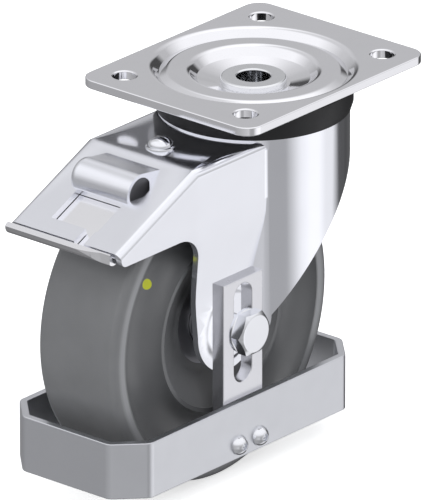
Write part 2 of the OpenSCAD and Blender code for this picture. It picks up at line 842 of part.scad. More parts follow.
// Plan of the guard: one strip bent round and welded into a ring
module guard_plan() {
    l = (guard_l - guard_t) / 2;
    w = guard_y - guard_t / 2;
    c = guard_chamfer - guard_t * (1 - sqrt(0.5));
    r = guard_bend_r - guard_t / 2;
    closed_band([
        [l - c, -w, r], [l, c - w, r], [l, w - c, r], [l - c, w, r],
        [c - l, w, r], [-l, w - c, r], [-l, c - w, r], [c - l, -w, r]
    ], guard_t);
}

module foot_guard() {
    color(zinc) difference() {
        translate([trail, 0, guard_bottom_z]) linear_extrude(guard_h) guard_plan();
        for (s = [-1, 1]) scale([1, s, 1]) guard_screw_holes(screw_r + track_gap, strap_out_y - 1, guard_y + 1);
    }
}

// Screw along Y with a domed head and a six-lobed socket
module guard_screw() {
    r = screw_head_d / 2;
    dome_r = (r * r + screw_head_h * screw_head_h) / (2 * screw_head_h);
    lobe = 0.7;
    difference() {
        rotate_extrude() {
            translate([0, -guard_t - strap_t + 0.5]) square([screw_r, guard_t + strap_t]);
            intersection() {
                translate([0, screw_head_h - dome_r]) circle(dome_r);
                square([r, screw_head_h + 1]);
            }
        }
        translate([0, 0, screw_head_h - 1.6]) {
            cylinder(r = 1.4, h = 3, $fn = 32);
            for (i = [0 : 5]) rotate(60 * i) translate([1.4, 0]) cylinder(r = lobe / 2, h = 3, $fn = 16);
        }
    }
}

module guard_screws() {
    color(polished) for (s = [-1, 1], t = [-1, 1]) scale([1, s, 1])
        translate([trail + t * screw_pitch / 2, guard_y, screw_z]) rotate([-90, 0, 0]) guard_screw();
}

// Wheel

module groove_circle(grow) {
    half = (groove_out_r - groove_in_r) / 2;
    r = (half * half + groove_depth * groove_depth) / (2 * groove_depth);
    translate([(groove_out_r + groove_in_r) / 2, wheel_w / 2 - groove_depth + r]) circle(r + grow);
}

// Half of the wheel's section, from its middle plane outwards
module wheel_half() {
    w = wheel_w / 2;
    bore_r = bearing_d / 2;
    difference() {
        union() {
            translate([bore_r, 0]) square([wheel_r - tread_edge_r - bore_r, w]);
            translate([wheel_r - tread_edge_r - 1, 0]) square([tread_edge_r + 1, w - tread_edge_r]);
            translate([wheel_r - tread_edge_r, w - tread_edge_r]) circle(tread_edge_r);
        }
        groove_circle(0);
        polygon([[0, bearing_out_y], [hub_r, bearing_out_y], [hub_ring_r, w - 0.5], [hub_ring_r + 0.5, w + 1], [0, w + 1]]);
        translate([0, -far_off]) square([far_off, far_off]);
    }
    translate([bore_r - 1.6, 0]) square([2, bearing_in_y]);
}

module wheel() {
    color(wheel_grey) about_axle() {
        wheel_half();
        mirror([0, 1]) wheel_half();
    }
}

// Painted dot in the near groove
module marker_dot() {
    film = 0.25;
    color(dot_yellow) intersection() {
        about_axle() difference() {
            groove_circle(0);
            groove_circle(-film);
        }
        translate([trail + dot_r * cos(dot_angle), wheel_w / 4, axle_z + dot_r * sin(dot_angle)]) rotate([-90, 0, 0])
            cylinder(d = dot_d, h = wheel_w / 4);
    }
}

// Wheel bearing, in the radius and Y plane, on the side s
bearing_ball_r = 3;
bearing_pitch_r = (bearing_bore + bearing_d) / 4;
bearing_mid_y = bearing_in_y + bearing_w / 2;

module bearing_ring(s, r0, r1) {
    color(ball_steel) about_axle() difference() {
        translate([r0, s > 0 ? bearing_in_y : -bearing_out_y]) square([r1 - r0, bearing_w]);
        translate([bearing_pitch_r, s * bearing_mid_y]) circle(bearing_ball_r + running_gap);
    }
}

module bearing_outer(s) {
    bearing_ring(s, bearing_pitch_r + 2.4, bearing_d / 2);
}

module bearing_inner(s) {
    bearing_ring(s, sleeve_r, bearing_pitch_r - 2.4);
}

module bearing_balls(s) {
    color(polished) translate([trail, s * bearing_mid_y, axle_z]) rotate([90, 0, 0])
        ball_ring(bearing_pitch_r, 2 * bearing_ball_r, 9);
}

module bearing_shield(s) {
    y0 = bearing_mid_y + bearing_ball_r + 0.7;
    color(zinc) about_axle() translate([bearing_pitch_r - 2.2, s > 0 ? y0 : -y0 - 0.8]) square([4.6, 0.8]);
}

module bearing_outer_near() {
    bearing_outer(1);
}

module bearing_outer_far() {
    bearing_outer(-1);
}

module bearing_inner_near() {
    bearing_inner(1);
}

module bearing_inner_far() {
    bearing_inner(-1);
}

module bearing_balls_near() {
    bearing_balls(1);
}

module bearing_balls_far() {
    bearing_balls(-1);
}

module bearing_shield_near() {
    bearing_shield(1);
}

module bearing_shield_far() {
    bearing_shield(-1);
}

top_plate();
kingpin();
lower_race();
upper_balls();
lower_balls();
dust_seal();
fork();
web_rivet();
detent_spring();
pedal_pin();
pin_bush_near();
pin_bush_far();
brake_pedal();
brake_shoe();
shoe_rivets();
axle_bolt();
axle_nut();
axle_washer_near();
axle_washer_far();
axle_sleeve();
guard_strap_near();
guard_strap_far();
foot_guard();
guard_screws();
wheel();
marker_dot();
bearing_outer_near();
bearing_outer_far();
bearing_inner_near();
bearing_inner_far();
bearing_balls_near();
bearing_balls_far();
bearing_shield_near();
bearing_shield_far();
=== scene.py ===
# Swivel castor with a toe brake and a foot guard, dressed for a studio picture.
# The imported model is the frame; lengths are worked out in millimetres and stored in metres.
import json
import math

import bmesh
import bpy
import numpy as np
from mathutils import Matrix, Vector
from mathutils.geometry import tessellate_polygon

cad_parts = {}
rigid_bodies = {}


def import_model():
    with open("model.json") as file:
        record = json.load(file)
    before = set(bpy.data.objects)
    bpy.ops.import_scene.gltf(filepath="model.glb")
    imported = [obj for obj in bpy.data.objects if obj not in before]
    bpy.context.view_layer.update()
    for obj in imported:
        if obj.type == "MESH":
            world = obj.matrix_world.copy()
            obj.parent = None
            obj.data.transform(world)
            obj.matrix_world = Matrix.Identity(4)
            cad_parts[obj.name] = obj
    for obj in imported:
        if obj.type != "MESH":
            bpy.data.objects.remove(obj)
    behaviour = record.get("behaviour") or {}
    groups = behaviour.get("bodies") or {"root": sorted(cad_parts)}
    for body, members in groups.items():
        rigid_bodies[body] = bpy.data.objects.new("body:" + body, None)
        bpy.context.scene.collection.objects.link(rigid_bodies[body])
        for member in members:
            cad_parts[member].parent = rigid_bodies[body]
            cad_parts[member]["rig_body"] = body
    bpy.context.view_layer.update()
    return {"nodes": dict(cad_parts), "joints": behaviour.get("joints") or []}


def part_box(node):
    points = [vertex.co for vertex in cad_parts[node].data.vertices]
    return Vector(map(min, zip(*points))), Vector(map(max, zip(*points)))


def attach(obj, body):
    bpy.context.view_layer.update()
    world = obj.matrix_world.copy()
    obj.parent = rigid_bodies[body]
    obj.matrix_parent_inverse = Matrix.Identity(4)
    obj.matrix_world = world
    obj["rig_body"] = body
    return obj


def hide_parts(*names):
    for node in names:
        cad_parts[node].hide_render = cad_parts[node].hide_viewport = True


mm = 0.001
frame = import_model()
nodes = frame["nodes"]
print("frame loaded:", len(nodes), "nodes")


# lowest and highest corner of a node, in millimetres
def boxOf(node):
    low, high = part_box(node)
    return np.array(low) / mm, np.array(high) / mm


axle = np.array(next(j["pos_m"] for j in frame["joints"] if j["name"] == "wheel_spin")) / mm

# pieces that the glossy leg beside them doesn't mirror
unmirrored = ("strapNear", "strapFar", "axleBolt", "axleNut", "washerNear", "washerFar")


# merges doubles, turns the faces outwards and marks as sharp each edge that turns by more than smoothAngle
def tidyMesh(mesh, smoothAngle, mergeBy=0.002 * mm):
    work = bmesh.new()
    work.from_mesh(mesh)
    bmesh.ops.remove_doubles(work, verts=work.verts, dist=mergeBy)
    bmesh.ops.dissolve_degenerate(work, edges=work.edges, dist=mergeBy)
    bmesh.ops.recalc_face_normals(work, faces=work.faces)
    limit = math.radians(smoothAngle)
    for face in work.faces:
        face.smooth = True
    for edge in work.edges:
        edge.smooth = len(edge.link_faces) == 2 and edge.calc_face_angle(0) < limit
    work.to_mesh(mesh)
    work.free()
    mesh.update()


# hangs a mesh on a body with its finish, and hides the nodes that it stands for;
# normals weighted by face area keep large flat faces flat beside their rounded edges
def dress(name, mesh, finishName, body, replaced, smoothAngle):
    obj = bpy.data.objects.new(name, mesh)
    bpy.context.scene.collection.objects.link(obj)
    obj.visible_glossy = name not in unmirrored
    tidyMesh(mesh, smoothAngle)
    mesh.materials.clear()
    mesh.materials.append(finish[finishName])
    flat = obj.modifiers.new("flatFaces", "WEIGHTED_NORMAL")
    flat.keep_sharp = True
    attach(obj, body)
    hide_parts(*replaced)
    return obj


# stores several parts, each a pair of points in millimetres and faces, as one mesh
def addPiece(name, parts, finishName, body, replaced, smoothAngle=35.0):
    points = [np.asarray(p, float).reshape(-1, 3) for p, _ in parts]
    starts = np.cumsum([0] + [len(p) for p in points[:-1]])
    faces = [(np.asarray(group) + start).tolist() for (_, group), start in zip(parts, starts)]
    everyFace = [face for group in faces for face in group]
    mesh = bpy.data.meshes.new(name)
    mesh.from_pydata((np.concatenate(points) * mm).tolist(), [], everyFace)
    return dress(name, mesh, finishName, body, replaced, smoothAngle)


# a merged copy of a node's own mesh, with smooth curves and crisp folds
def smoothCopy(node, finishName, smoothAngle=28.0):
    mesh, body = nodes[node].data.copy(), nodes[node]["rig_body"]
    return dress(node + "Skin", mesh, finishName, body, [node], smoothAngle)


# quads of a rows by columns grid of points, closed round either way
def gridFaces(rows, columns, closeRows, closeColumns):
    r = np.arange(rows if closeRows else rows - 1)
    c = np.arange(columns if closeColumns else columns - 1)
    r, c = np.meshgrid(r, c, indexing="ij")
    r1, c1 = (r + 1) % rows, (c + 1) % columns
    corners = [r * columns + c, r1 * columns + c, r1 * columns + c1, r * columns + c1]
    return np.stack(corners, -1).reshape(-1, 4)


# an open path of x, y, radius rows, moved off to its left: each bend is an arc of steps + 1 points
# about the point that lies its radius inside both legs
def bentPath(path, off=0.0, steps=8):
    path = np.asarray(path, float)
    p, r = path[:, :2], path[1:-1, 2]
    d = np.diff(p, axis=0)
    d /= np.linalg.norm(d, axis=1, keepdims=True)
    left = np.stack([-d[:, 1], d[:, 0]], -1)
    a = np.arctan2(d[:, 1], d[:, 0])
    b = (np.diff(a) + np.pi) % (2 * np.pi) - np.pi
    side = np.sign(b)
    centre = p[1:-1] - (r * np.tan(abs(b) / 2))[:, None] * d[:-1] + (side * r)[:, None] * left[:-1]
    q = (a[:-1] - side * np.pi / 2)[:, None] + b[:, None] * np.linspace(0, 1, steps + 1)
    arcs = centre[:, None] + (r - side * off)[:, None, None] * np.stack([np.cos(q), np.sin(q)], -1)
    return np.concatenate([[p[0] + off * left[0]], arcs.reshape(-1, 2), [p[-1] + off * left[-1]]])


# the same for a closed path: it is carried on past both ends, and what was added is cut off
def roundedLoop(path, steps):
    path = np.asarray(path, float)
    return bentPath(np.concatenate([path[-1:], path, path[:1]]), 0.0, steps)[1:-1]


# circle about a centre: x + radius cos t, y + radius sin t
def ring(radius, x=0.0, y=0.0, steps=72):
    t = np.linspace(0, 2 * np.pi, steps, endpoint=False)
    return np.stack([x + radius * np.cos(t), y + radius * np.sin(t)], -1)


# turns a profile of radius and height rows about Z: x = r cos t, y = r sin t, z = height
def lathe(profile, steps, closed=True):
    profile = np.asarray(profile, float)
    t = np.linspace(0, 2 * np.pi, steps, endpoint=False)
    r, h = profile[:, :1], profile[:, 1:]
    points = np.stack([r * np.cos(t), r * np.sin(t), h + 0 * t], -1)
    return points, gridFaces(len(profile), steps, closed, True)


# lays a part that was worked out about Z along Y, at x, z and from y outwards, to either side
def alongY(part, x, y, z, side=1):
    points, faces = part
    return np.stack([x + points[..., 0], side * (y + points[..., 2]), z + points[..., 1]], -1), faces


# stacks flat loops of equal length, each at its own height
def tube(loops, heights):
    points = np.stack([np.column_stack([loop, np.full(len(loop), h)]) for loop, h in zip(loops, heights)])
    return points, gridFaces(len(loops), len(loops[0]), False, True)


# fills the area between a loop and the loops inside it, at one height
def flatFill(loops, height):
    loops = [np.column_stack([loop, np.full(len(loop), height)]) for loop in loops]
    return np.concatenate(loops), tessellate_polygon([[Vector(p) for p in loop] for loop in loops])


# quarter round of a cut edge, as rows of inset, radius (1 - sin a), and depth, radius (1 - cos a)
def edgeRound(radius, steps=4):
    a = np.linspace(0, np.pi / 2, steps + 1)
    return np.stack([radius * (1 - np.sin(a)), radius * (1 - np.cos(a))], -1)


# noise in the finishes: waves to the metre of the colour's cloud, of the roughness's drift and of the press's
# waves, the shares by which colour and roughness change either way, and the grain's depth in mm
metalNoise = {"cloud": 60, "cloudShare": 0.012, "drift": 140, "driftShare": 0.07, "waves": 55,
              "grainDepth": 0.05}
plasticNoise = {"cloud": 90, "cloudShare": 0.05, "drift": 300, "driftShare": 0.1, "grainDepth": 0.05}


# an empty material with one shader on its output
def newMaterial(name):
    material = bpy.data.materials.new(name)
    material.use_nodes = True
    tree = material.node_tree
    tree.nodes.clear()
    output = tree.nodes.new("ShaderNodeOutputMaterial")
    shader = tree.nodes.new("ShaderNodeBsdfPrincipled")
    tree.links.new(shader.outputs[0], output.inputs[0])
    return material, tree, shader


# noise on Object coordinates, which are in metres: place times scale
def noise(tree, scale, detail=4.0):
    place = tree.nodes.new("ShaderNodeTexCoord")
    texture = tree.nodes.new("ShaderNodeTexNoise")
    texture.inputs["Scale"].default_value = scale
    texture.inputs["Detail"].default_value = detail
    tree.links.new(place.outputs["Object"], texture.inputs["Vector"])
    return texture.outputs["Fac"]


# low + (high - low) (value - start) / (end - start), kept between low and high
def spread(tree, value, low, high, start=0.3, end=0.7):
    ramp = tree.nodes.new("ShaderNodeMapRange")
    ramp.inputs["From Min"].default_value = start
    ramp.inputs["From Max"].default_value = end
    ramp.inputs["To Min"].default_value = low
    ramp.inputs["To Max"].default_value = high
    tree.links.new(value, ramp.inputs["Value"])
    return ramp.outputs[0]


# first + second, or first times second, as the operation says
def combine(tree, operation, first, second):
    node = tree.nodes.new("ShaderNodeMath")
    node.operation = operation
    tree.links.new(first, node.inputs[0])
    tree.links.new(second, node.inputs[1])
    return node.outputs[0]


# one of the Object coordinates, in metres
def coordinate(tree, letter):
    split = tree.nodes.new("ShaderNodeSeparateXYZ")
    tree.links.new(tree.nodes.new("ShaderNodeTexCoord").outputs["Object"], split.inputs[0])
    return split.outputs[letter]


# raises the surface by a height, over what an earlier bump gives
def bump(tree, shader, height, strength, distance):
    node = tree.nodes.new("ShaderNodeBump")
    node.inputs["Strength"].default_value = strength
    node.inputs["Distance"].default_value = distance * mm
    tree.links.new(height, node.inputs["Height"])
    if shader.inputs["Normal"].links:
        tree.links.new(shader.inputs["Normal"].links[0].from_socket, node.inputs["Normal"])
    tree.links.new(node.outputs[0], shader.inputs["Normal"])


# first times (1 - value) + second times value, each a colour or what a socket gives
def mixColour(tree, value, first, second):
    mix = tree.nodes.new("ShaderNodeMix")
    mix.data_type = "RGBA"
    tree.links.new(value, mix.inputs["Factor"])
    for socket, colour in ((mix.inputs["A"], first), (mix.inputs["B"], second)):
        if isinstance(colour, bpy.types.NodeSocket):
            tree.links.new(colour, socket)
        else:
            socket.default_value = (*np.clip(colour, 0, 1), 1)
    return mix.outputs["Result"]


# colour times 1 - share to 1 + share, by a noise
def cloudy(tree, colour, sizes):
    colour, share = np.array(colour), sizes["cloudShare"]
    cloud = spread(tree, noise(tree, sizes["cloud"]), 0, 1)
    return mixColour(tree, cloud, colour * (1 - share), colour * (1 + share))


# roughness times 1 - share to 1 + share, by a noise
def drifting(tree, roughness, sizes):
    share = sizes["driftShare"]
    return spread(tree, noise(tree, sizes["drift"]), roughness * (1 - share), roughness * (1 + share))


# plated or bare steel: cloudy colour, roughness that drifts, a fine grain, and waves left by the press, with
# their depth in mm; satin adds roughness from one X to another
def metal(name, colour, roughness, metallic=1.0, grain=900, grainStrength=0.04, waves=0.0, satin=None):
    material, tree, shader = newMaterial(name)
    shader.inputs["Metallic"].default_value = metallic
    tree.links.new(cloudy(tree, colour, metalNoise), shader.inputs["Base Color"])
    rough = drifting(tree, roughness, metalNoise)
    if satin:
        extra = spread(tree, coordinate(tree, "X"), 0, satin["extra"], satin["from"] * mm, satin["to"] * mm)
        rough = combine(tree, "ADD", rough, extra)
    tree.links.new(rough, shader.inputs["Roughness"])
    if waves:
        bump(tree, shader, noise(tree, metalNoise["waves"], 1), 1.0, waves)
    bump(tree, shader, noise(tree, grain, 2), grainStrength, metalNoise["grainDepth"])
    return material


# moulded plastic or rubber: faint colour drift and a fine moulded grain; paint may lay colours over its tone
def plastic(name, colour, roughness, grain, grainStrength=0.08, specular=0.5, paint=None):
    material, tree, shader = newMaterial(name)
    shader.inputs["Specular IOR Level"].default_value = specular
    tone = cloudy(tree, colour, plasticNoise)
    tree.links.new(paint(tree, tone) if paint else tone, shader.inputs["Base Color"])
    tree.links.new(drifting(tree, roughness, plasticNoise), shader.inputs["Roughness"])
    bump(tree, shader, noise(tree, grain, 3), grainStrength, plasticNoise["grainDepth"])
    return material


# inner to outer over a soft edge at the given distance from a line along Y through the centre
def roundMask(tree, centre, radius, soft, inner, outer):
    place = tree.nodes.new("ShaderNodeTexCoord")
    away, flat, length = (tree.nodes.new("ShaderNodeVectorMath") for _ in range(3))
    away.operation, flat.operation, length.operation = "SUBTRACT", "MULTIPLY", "LENGTH"
    away.inputs[1].default_value = Vector(centre) * mm
    flat.inputs[1].default_value = (1, 0, 1)
    tree.links.new(place.outputs["Object"], away.inputs[0])
    tree.links.new(away.outputs[0], flat.inputs[0])
    tree.links.new(flat.outputs[0], length.inputs[0])
    return spread(tree, length.outputs["Value"], inner, outer, (radius - soft) * mm, (radius + soft) * mm)


# the wheel's colours: painted shade on the web, darker from the outer radius to the inner, a painted highlight
# as a paler rim band between two radii with its own soft edges, and a yellow paint dot on the near side
wheelDotAndPaintedLight = {
    # painted shade: the web grows darker towards the hub
    "hubShadeRadii": (14.0, 56.0), "hubShadeColour": (0.075, 0.076, 0.080),
    # painted highlight: the paler band on the rim
    "highlightBandRadii": (56.3, 59.0), "highlightBandSoft": (0.25, 0.9), "highlightBandColour": (0.235, 0.237, 0.245),
    "dotCentre": (75.6, 0.0, -63.0), "dotRadius": 2.05, "dotSoft": 0.12, "dotColour": (0.50, 0.53, 0.015),
}


# lays the web's painted shade, the rim band's painted highlight and the dot over the wheel's tone; the dot's
# mask is 0 where Y is below 0
def paintDotShadeAndHighlight(tree, tone):
    marks = wheelDotAndPaintedLight
    (hubShadeIn, hubShadeOut), (highlightIn, highlightOut) = marks["hubShadeRadii"], marks["highlightBandRadii"]
    softIn, softOut = marks["highlightBandSoft"]
    # painted shade on the web, darkest at the hub, and a painted highlight on the rim band
    web = roundMask(tree, axle, (hubShadeIn + hubShadeOut) / 2, (hubShadeOut - hubShadeIn) / 2, 1, 0)
    highlightBand = combine(tree, "MULTIPLY", roundMask(tree, axle, highlightIn, softIn, 0, 1),
                   roundMask(tree, axle, highlightOut, softOut, 1, 0))
    near = spread(tree, coordinate(tree, "Y"), 0, 1, 0, 0.1 * mm)
    spot = roundMask(tree, marks["dotCentre"], marks["dotRadius"], marks["dotSoft"], 1, 0)
    tone = mixColour(tree, web, tone, marks["hubShadeColour"])
    tone = mixColour(tree, highlightBand, tone, marks["highlightBandColour"])
    return mixColour(tree, combine(tree, "MULTIPLY", spot, near), tone, marks["dotColour"])


# colour, roughness and grain of each finish; the fork's sloping cover, past satin's X, is duller than its rest
finish = {
    "zincPlate": metal("zincPlate", (0.86, 0.86, 0.885), 0.07, grain=700, grainStrength=0.02, waves=0.02),
    "plateCollar": metal("plateCollar", (0.82, 0.83, 0.85), 0.12, grain=700, grainStrength=0.02),
    "brightSheet": metal("brightSheet", (0.85, 0.86, 0.905), 0.12, grain=500, grainStrength=0.015, waves=0.01,
                         satin={"extra": 0.14, "from": 61, "to": 66}),
    "pressedCover": metal("pressedCover", (0.92, 0.92, 0.94), 0.17, grain=500, grainStrength=0.015,
                          waves=0.015),
    "guardZinc": metal("guardZinc", (0.67, 0.68, 0.71), 0.34, grain=900, grainStrength=0.04, waves=0.01),
    "strapZinc": metal("strapZinc", (0.74, 0.74, 0.77), 0.26, grain=900, grainStrength=0.03, waves=0.01),
    "boltChrome": metal("boltChrome", (0.84, 0.85, 0.88), 0.12, grain=600, grainStrength=0.01),
    "groundSteel": metal("groundSteel", (0.62, 0.62, 0.64), 0.2, grain=800, grainStrength=0.02),
    # dark steel of the shields, also laid on the bearings' outer rings as painted shade
    "shieldSteelAndShade": metal("shieldSteelAndShade", (0.34, 0.34, 0.36), 0.5, grain=800, grainStrength=0.02),
    "blackSteel": metal("blackSteel", (0.12, 0.12, 0.13), 0.5, 0.6, grain=800, grainStrength=0.04),
    "sealRubber": plastic("sealRubber", (0.011, 0.011, 0.012), 0.45, 1200, specular=0.35),
    "wheelPlastic": plastic("wheelPlastic", (0.140, 0.142, 0.146), 0.36, 1400, grainStrength=0.06,
                            paint=paintDotShadeAndHighlight),
}
print("finishes:", len(finish))


# Top plate: flat sheet with a turned pressing, four coined holes and rounded cut edges
plateSizes = {
    "thickness": 3.5, "cornerRadius": 7.0, "cornerSteps": 12, "edgeRadius": 0.45, "turnSteps": 288,
    "holeRadius": 4.5, "holePitch": (80.0, 60.0), "coinedRim": 0.9, "coinedShare": 0.6, "coinedSteps": 6,
    "lowerBevel": 0.2,
    "trackRadius": 29.0, "trackHalf": 2.0, "trackBall": 4.6, "trackHeight": -9.25, "trackRows": 17,
    # radius, height of the upper face and bend radius along the pressing
    "pressing": [[10, -7, 0], [14.2, -7, 1.8], [22.4, -4.9, 1.9], [25.7, -1.6, 1.9], [32.2, -1.7, 1.9],
                 [36.1, -3.5, 1.9], [39.8, 0, 1.9], [42.0, 0, 0]],
}


# upper and lower face of the pressing half the sheet to either side of its middle layer, the lower one lifted
# where the ball track, a circle about the balls, is rolled into it; then the cut edge, holes and flat faces
def plateParts(sizes):
    low, high = boxOf("top_plate")
    length, width = high[0] - low[0], high[1] - low[1]
    t, corner, turns = sizes["thickness"], sizes["cornerRadius"], sizes["turnSteps"]
    reach = sizes["pressing"][-1][0]
    middle = np.array(sizes["pressing"], float) - [0, t / 2, 0]
    upper, lower = bentPath(middle, t / 2), bentPath(middle, -t / 2)
    track, half = sizes["trackRadius"], sizes["trackHalf"]
    r = np.unique(np.concatenate([lower[:, 0], np.linspace(track - half, track + half, sizes["trackRows"])]))
    away = np.clip(sizes["trackBall"] ** 2 - (r - track) ** 2, 0, None)
    rolled = np.where(away > 0, sizes["trackHeight"] + np.sqrt(away), -np.inf)
    lower = np.stack([r, np.maximum(np.interp(r, lower[:, 0], lower[:, 1]), rolled)], -1)
    parts = [lathe(np.concatenate([upper[::-1], lower]), turns, closed=False)]

    # the plate's rounded outline, moved inwards
    def outline(inset):
        x, y, bend = length / 2 - inset, width / 2 - inset, corner - inset
        corners = [[x, -y, bend], [x, y, bend], [-x, y, bend], [-x, -y, bend]]
        return roundedLoop(corners, sizes["cornerSteps"])

    cut = edgeRound(sizes["edgeRadius"])
    rows = np.concatenate([cut * [1, -1], cut[::-1] + [0, -t]])
    parts.append(tube([outline(inset) for inset in rows[:, 0]], rows[:, 1]))
    top = [outline(rows[0, 0]), ring(reach, steps=turns)]
    bottom = [outline(rows[-1, 0]), ring(reach, steps=turns)]
    bevel = sizes["lowerBevel"]
    rim = edgeRound(sizes["coinedRim"], sizes["coinedSteps"]) * [1, -sizes["coinedShare"]]
    coined = np.concatenate([rim, [[0, bevel - t], [bevel, -t]]])
    pitchX, pitchY = sizes["holePitch"]
    for x in (-pitchX / 2, pitchX / 2):
        for y in (-pitchY / 2, pitchY / 2):
            loops = [ring(sizes["holeRadius"] + inset, x, y) for inset in coined[:, 0]]
            parts.append(tube(loops, coined[:, 1]))
            top.append(loops[0])
            bottom.append(loops[-1])
    return parts + [flatFill(top, 0.0), flatFill(bottom, -t)]


addPiece("plateSkin", plateParts(plateSizes), "zincPlate", "plate", ["top_plate"], 30)
print("plate made")

# Kingpin: turned tube with a rolled collar in the plate's well and a flared foot
kingpinSizes = {"shankRadius": 10.0, "boreRadius": 6.5, "collarRadius": 12.7, "collarSeat": -7.0,
                "collarBend": 1.0, "footHeight": 2.7, "rolled": 0.7, "footRoot": 0.2, "collarRoot": 0.1,
                "bendSteps": 6, "turnSteps": 160}


# closed section of radius, height and bend radius rows, turned about Z
def kingpinPart(sizes):
    low, high = boxOf("kingpin")
    bore, shank, collar = sizes["boreRadius"], sizes["shankRadius"], sizes["collarRadius"]
    seat, foot, rolled = sizes["collarSeat"], low[2] + sizes["footHeight"], sizes["rolled"]
    section = [[bore, low[2], rolled], [high[0], low[2], rolled], [high[0], foot, sizes["footRoot"]],
               [shank, foot, sizes["footRoot"]], [shank, seat, sizes["collarRoot"]],
               [collar, seat, sizes["collarRoot"]], [collar, high[2], sizes["collarBend"]],
               [bore, high[2], rolled]]
    return lathe(roundedLoop(section, sizes["bendSteps"]), sizes["turnSteps"])


addPiece("kingpinSkin", [kingpinPart(kingpinSizes)], "plateCollar", "plate", ["kingpin"])

# Dust seal: rubber ring seated on the head's rounded edge, with a lip that reaches up to the plate
sealSizes = {"width": 3.6, "lipWidth": 1.0, "lipHeight": 1.0, "lipRadius": 0.25, "bend": 0.3,
             "headRadius": 36.7, "headEdge": 2.5, "skirt": 0.4, "skirtDrop": 0.3,
             "seatRows": 9, "bendSteps": 5, "turnSteps": 192}


# section of the seal, turned about Z: its flat top and lip, its outer wall and skirt, and the quarter circle
# of the head's edge that it sits on
def sealPart(sizes):
    low, high = boxOf("dust_seal")
    head, edge = sizes["headRadius"], sizes["headEdge"]
    seatTop, flatTop = low[2] + sizes["skirtDrop"] + edge, high[2] - sizes["lipHeight"]
    inside, lipFoot = high[0] - sizes["width"], high[0] - sizes["lipWidth"]
    turn = np.linspace(0, np.pi / 2, sizes["seatRows"])
    seat = np.stack([head - edge * (1 - np.sin(turn)), seatTop - edge * (1 - np.cos(turn))], -1)
    top = bentPath([[inside, seatTop, 0], [inside, flatTop, sizes["bend"]], [lipFoot, flatTop, sizes["bend"]],
                    [high[0], high[2], sizes["lipRadius"]], [high[0], seatTop, 0]], steps=sizes["bendSteps"])
    skirt = [[head + sizes["skirt"], low[2]], [head, low[2]]]
    return lathe(np.concatenate([top[1:], skirt, seat[::-1], top[:1]]), sizes["turnSteps"])


addPiece("sealRing", [sealPart(sealSizes)], "sealRubber", "fork", ["dust_seal"])
print("swivel head dressed")

# Wheel: one moulded body, dished on both faces
wheelSizes = {"rimWidth": 6.8, "grooveDepth": 8.0, "hubWall": 3.5, "hubWidth": 12.0, "hubGap": 2.0,
              "hubStep": 0.5, "hubLip": (0.35, 0.02), "edgeRadius": 3.3, "stop": (1.6, 1.5), "faceSteps": 40,
              "turnSteps": 256, "edgeRows": 9}


# half section as radius and height rows: tread, rounded tread edge, flat rim, circular dish, conical hub and
# bore with its bearing stop; the other half is its mirror image
def wheelProfile(sizes):
    low, high = boxOf("wheel")
    outer, half = (high[0] - low[0]) / 2, (high[1] - low[1]) / 2
    bearingLow, bearingHigh = boxOf("bearing_outer_near")
    bearing, bearingFace = (bearingHigh[0] - bearingLow[0]) / 2, bearingHigh[1]
    hub = bearing + sizes["hubWall"]
    hubRing = hub + sizes["hubWidth"]
    grooveIn, grooveOut = hubRing + sizes["hubGap"], outer - sizes["rimWidth"]
    a = np.radians(np.linspace(0, 90, sizes["edgeRows"]))
    edge = sizes["edgeRadius"]
    tread = np.stack([outer - edge + edge * np.cos(a), half - edge + edge * np.sin(a)], -1)
    span = (grooveOut - grooveIn) / 2
    dishRadius = (span ** 2 + sizes["grooveDepth"] ** 2) / (2 * sizes["grooveDepth"])
    b = np.linspace(1, -1, sizes["faceSteps"]) * math.asin(span / dishRadius)
    dish = np.stack([(grooveIn + grooveOut) / 2 + dishRadius * np.sin(b),
                     half - sizes["grooveDepth"] + dishRadius * (1 - np.cos(b))], -1)
    lipOut, lipDrop = sizes["hubLip"]
    stopIn, stopHalf = sizes["stop"]
    hubRows = [[hubRing + lipOut, half - lipDrop], [hubRing, half - sizes["hubStep"]], [hub, bearingFace],
               [bearing, bearingFace], [bearing, stopHalf], [bearing - stopIn, stopHalf]]
    halfSection = np.concatenate([tread, dish, hubRows])
    return np.concatenate([halfSection, (halfSection * [1, -1])[::-1]])


wheelShape = lathe(wheelProfile(wheelSizes), wheelSizes["turnSteps"])
addPiece("wheelBody", [alongY(wheelShape, axle[0], 0, axle[2])], "wheelPlastic", "wheel",
         ["wheel", "marker_dot"], 40)
print("wheel made")

# Foot guard: a strip with rounded edges bent into a ring
guardSizes = {"thickness": 3.0, "edgeRadius": 0.45, "bendRadius": 4.5, "chamfer": 11.5,
              "bendSteps": 10, "edgeSteps": 4}


# strip section of inset and height rows carried round the rounded plan path along its outward normal
def guardPart(sizes):
    low, high = boxOf("foot_guard")
    x, y, cut, bend = (high[0] - low[0]) / 2, high[1], sizes["chamfer"], sizes["bendRadius"]
    path = [[x - cut, -y, bend], [x, cut - y, bend], [x, y - cut, bend], [x - cut, y, bend],
            [cut - x, y, bend], [-x, y - cut, bend], [-x, cut - y, bend], [cut - x, -y, bend]]
    path = roundedLoop(path, sizes["bendSteps"])
    tangent = np.roll(path, -1, 0) - np.roll(path, 1, 0)
    tangent /= np.linalg.norm(tangent, axis=1, keepdims=True)
    normal = np.stack([tangent[:, 1], -tangent[:, 0]], -1)
    t, edge = sizes["thickness"], sizes["edgeRadius"]
    section = [[-t, low[2], edge], [0, low[2], edge], [0, high[2], edge], [-t, high[2], edge]]
    section = roundedLoop(section, sizes["edgeSteps"])
    xy = (path + [axle[0], 0])[:, None] + normal[:, None] * section[None, :, :1]
    points = np.concatenate([xy, np.broadcast_to(section[None, :, 1:], xy[..., :1].shape)], -1)
    return points, gridFaces(len(path), len(section), True, True)


addPiece("guardBand", [guardPart(guardSizes)], "guardZinc", "guard", ["foot_guard"])
print("guard made")

# Straps: flat bar with a long slot, made as one loop of sections from the slot's wall to the outer edge
strapSizes = {"slotRadius": 5.2, "slotLow": -15.9, "slotHigh": 13.7, "edgeRadius": 0.4, "around": 192}


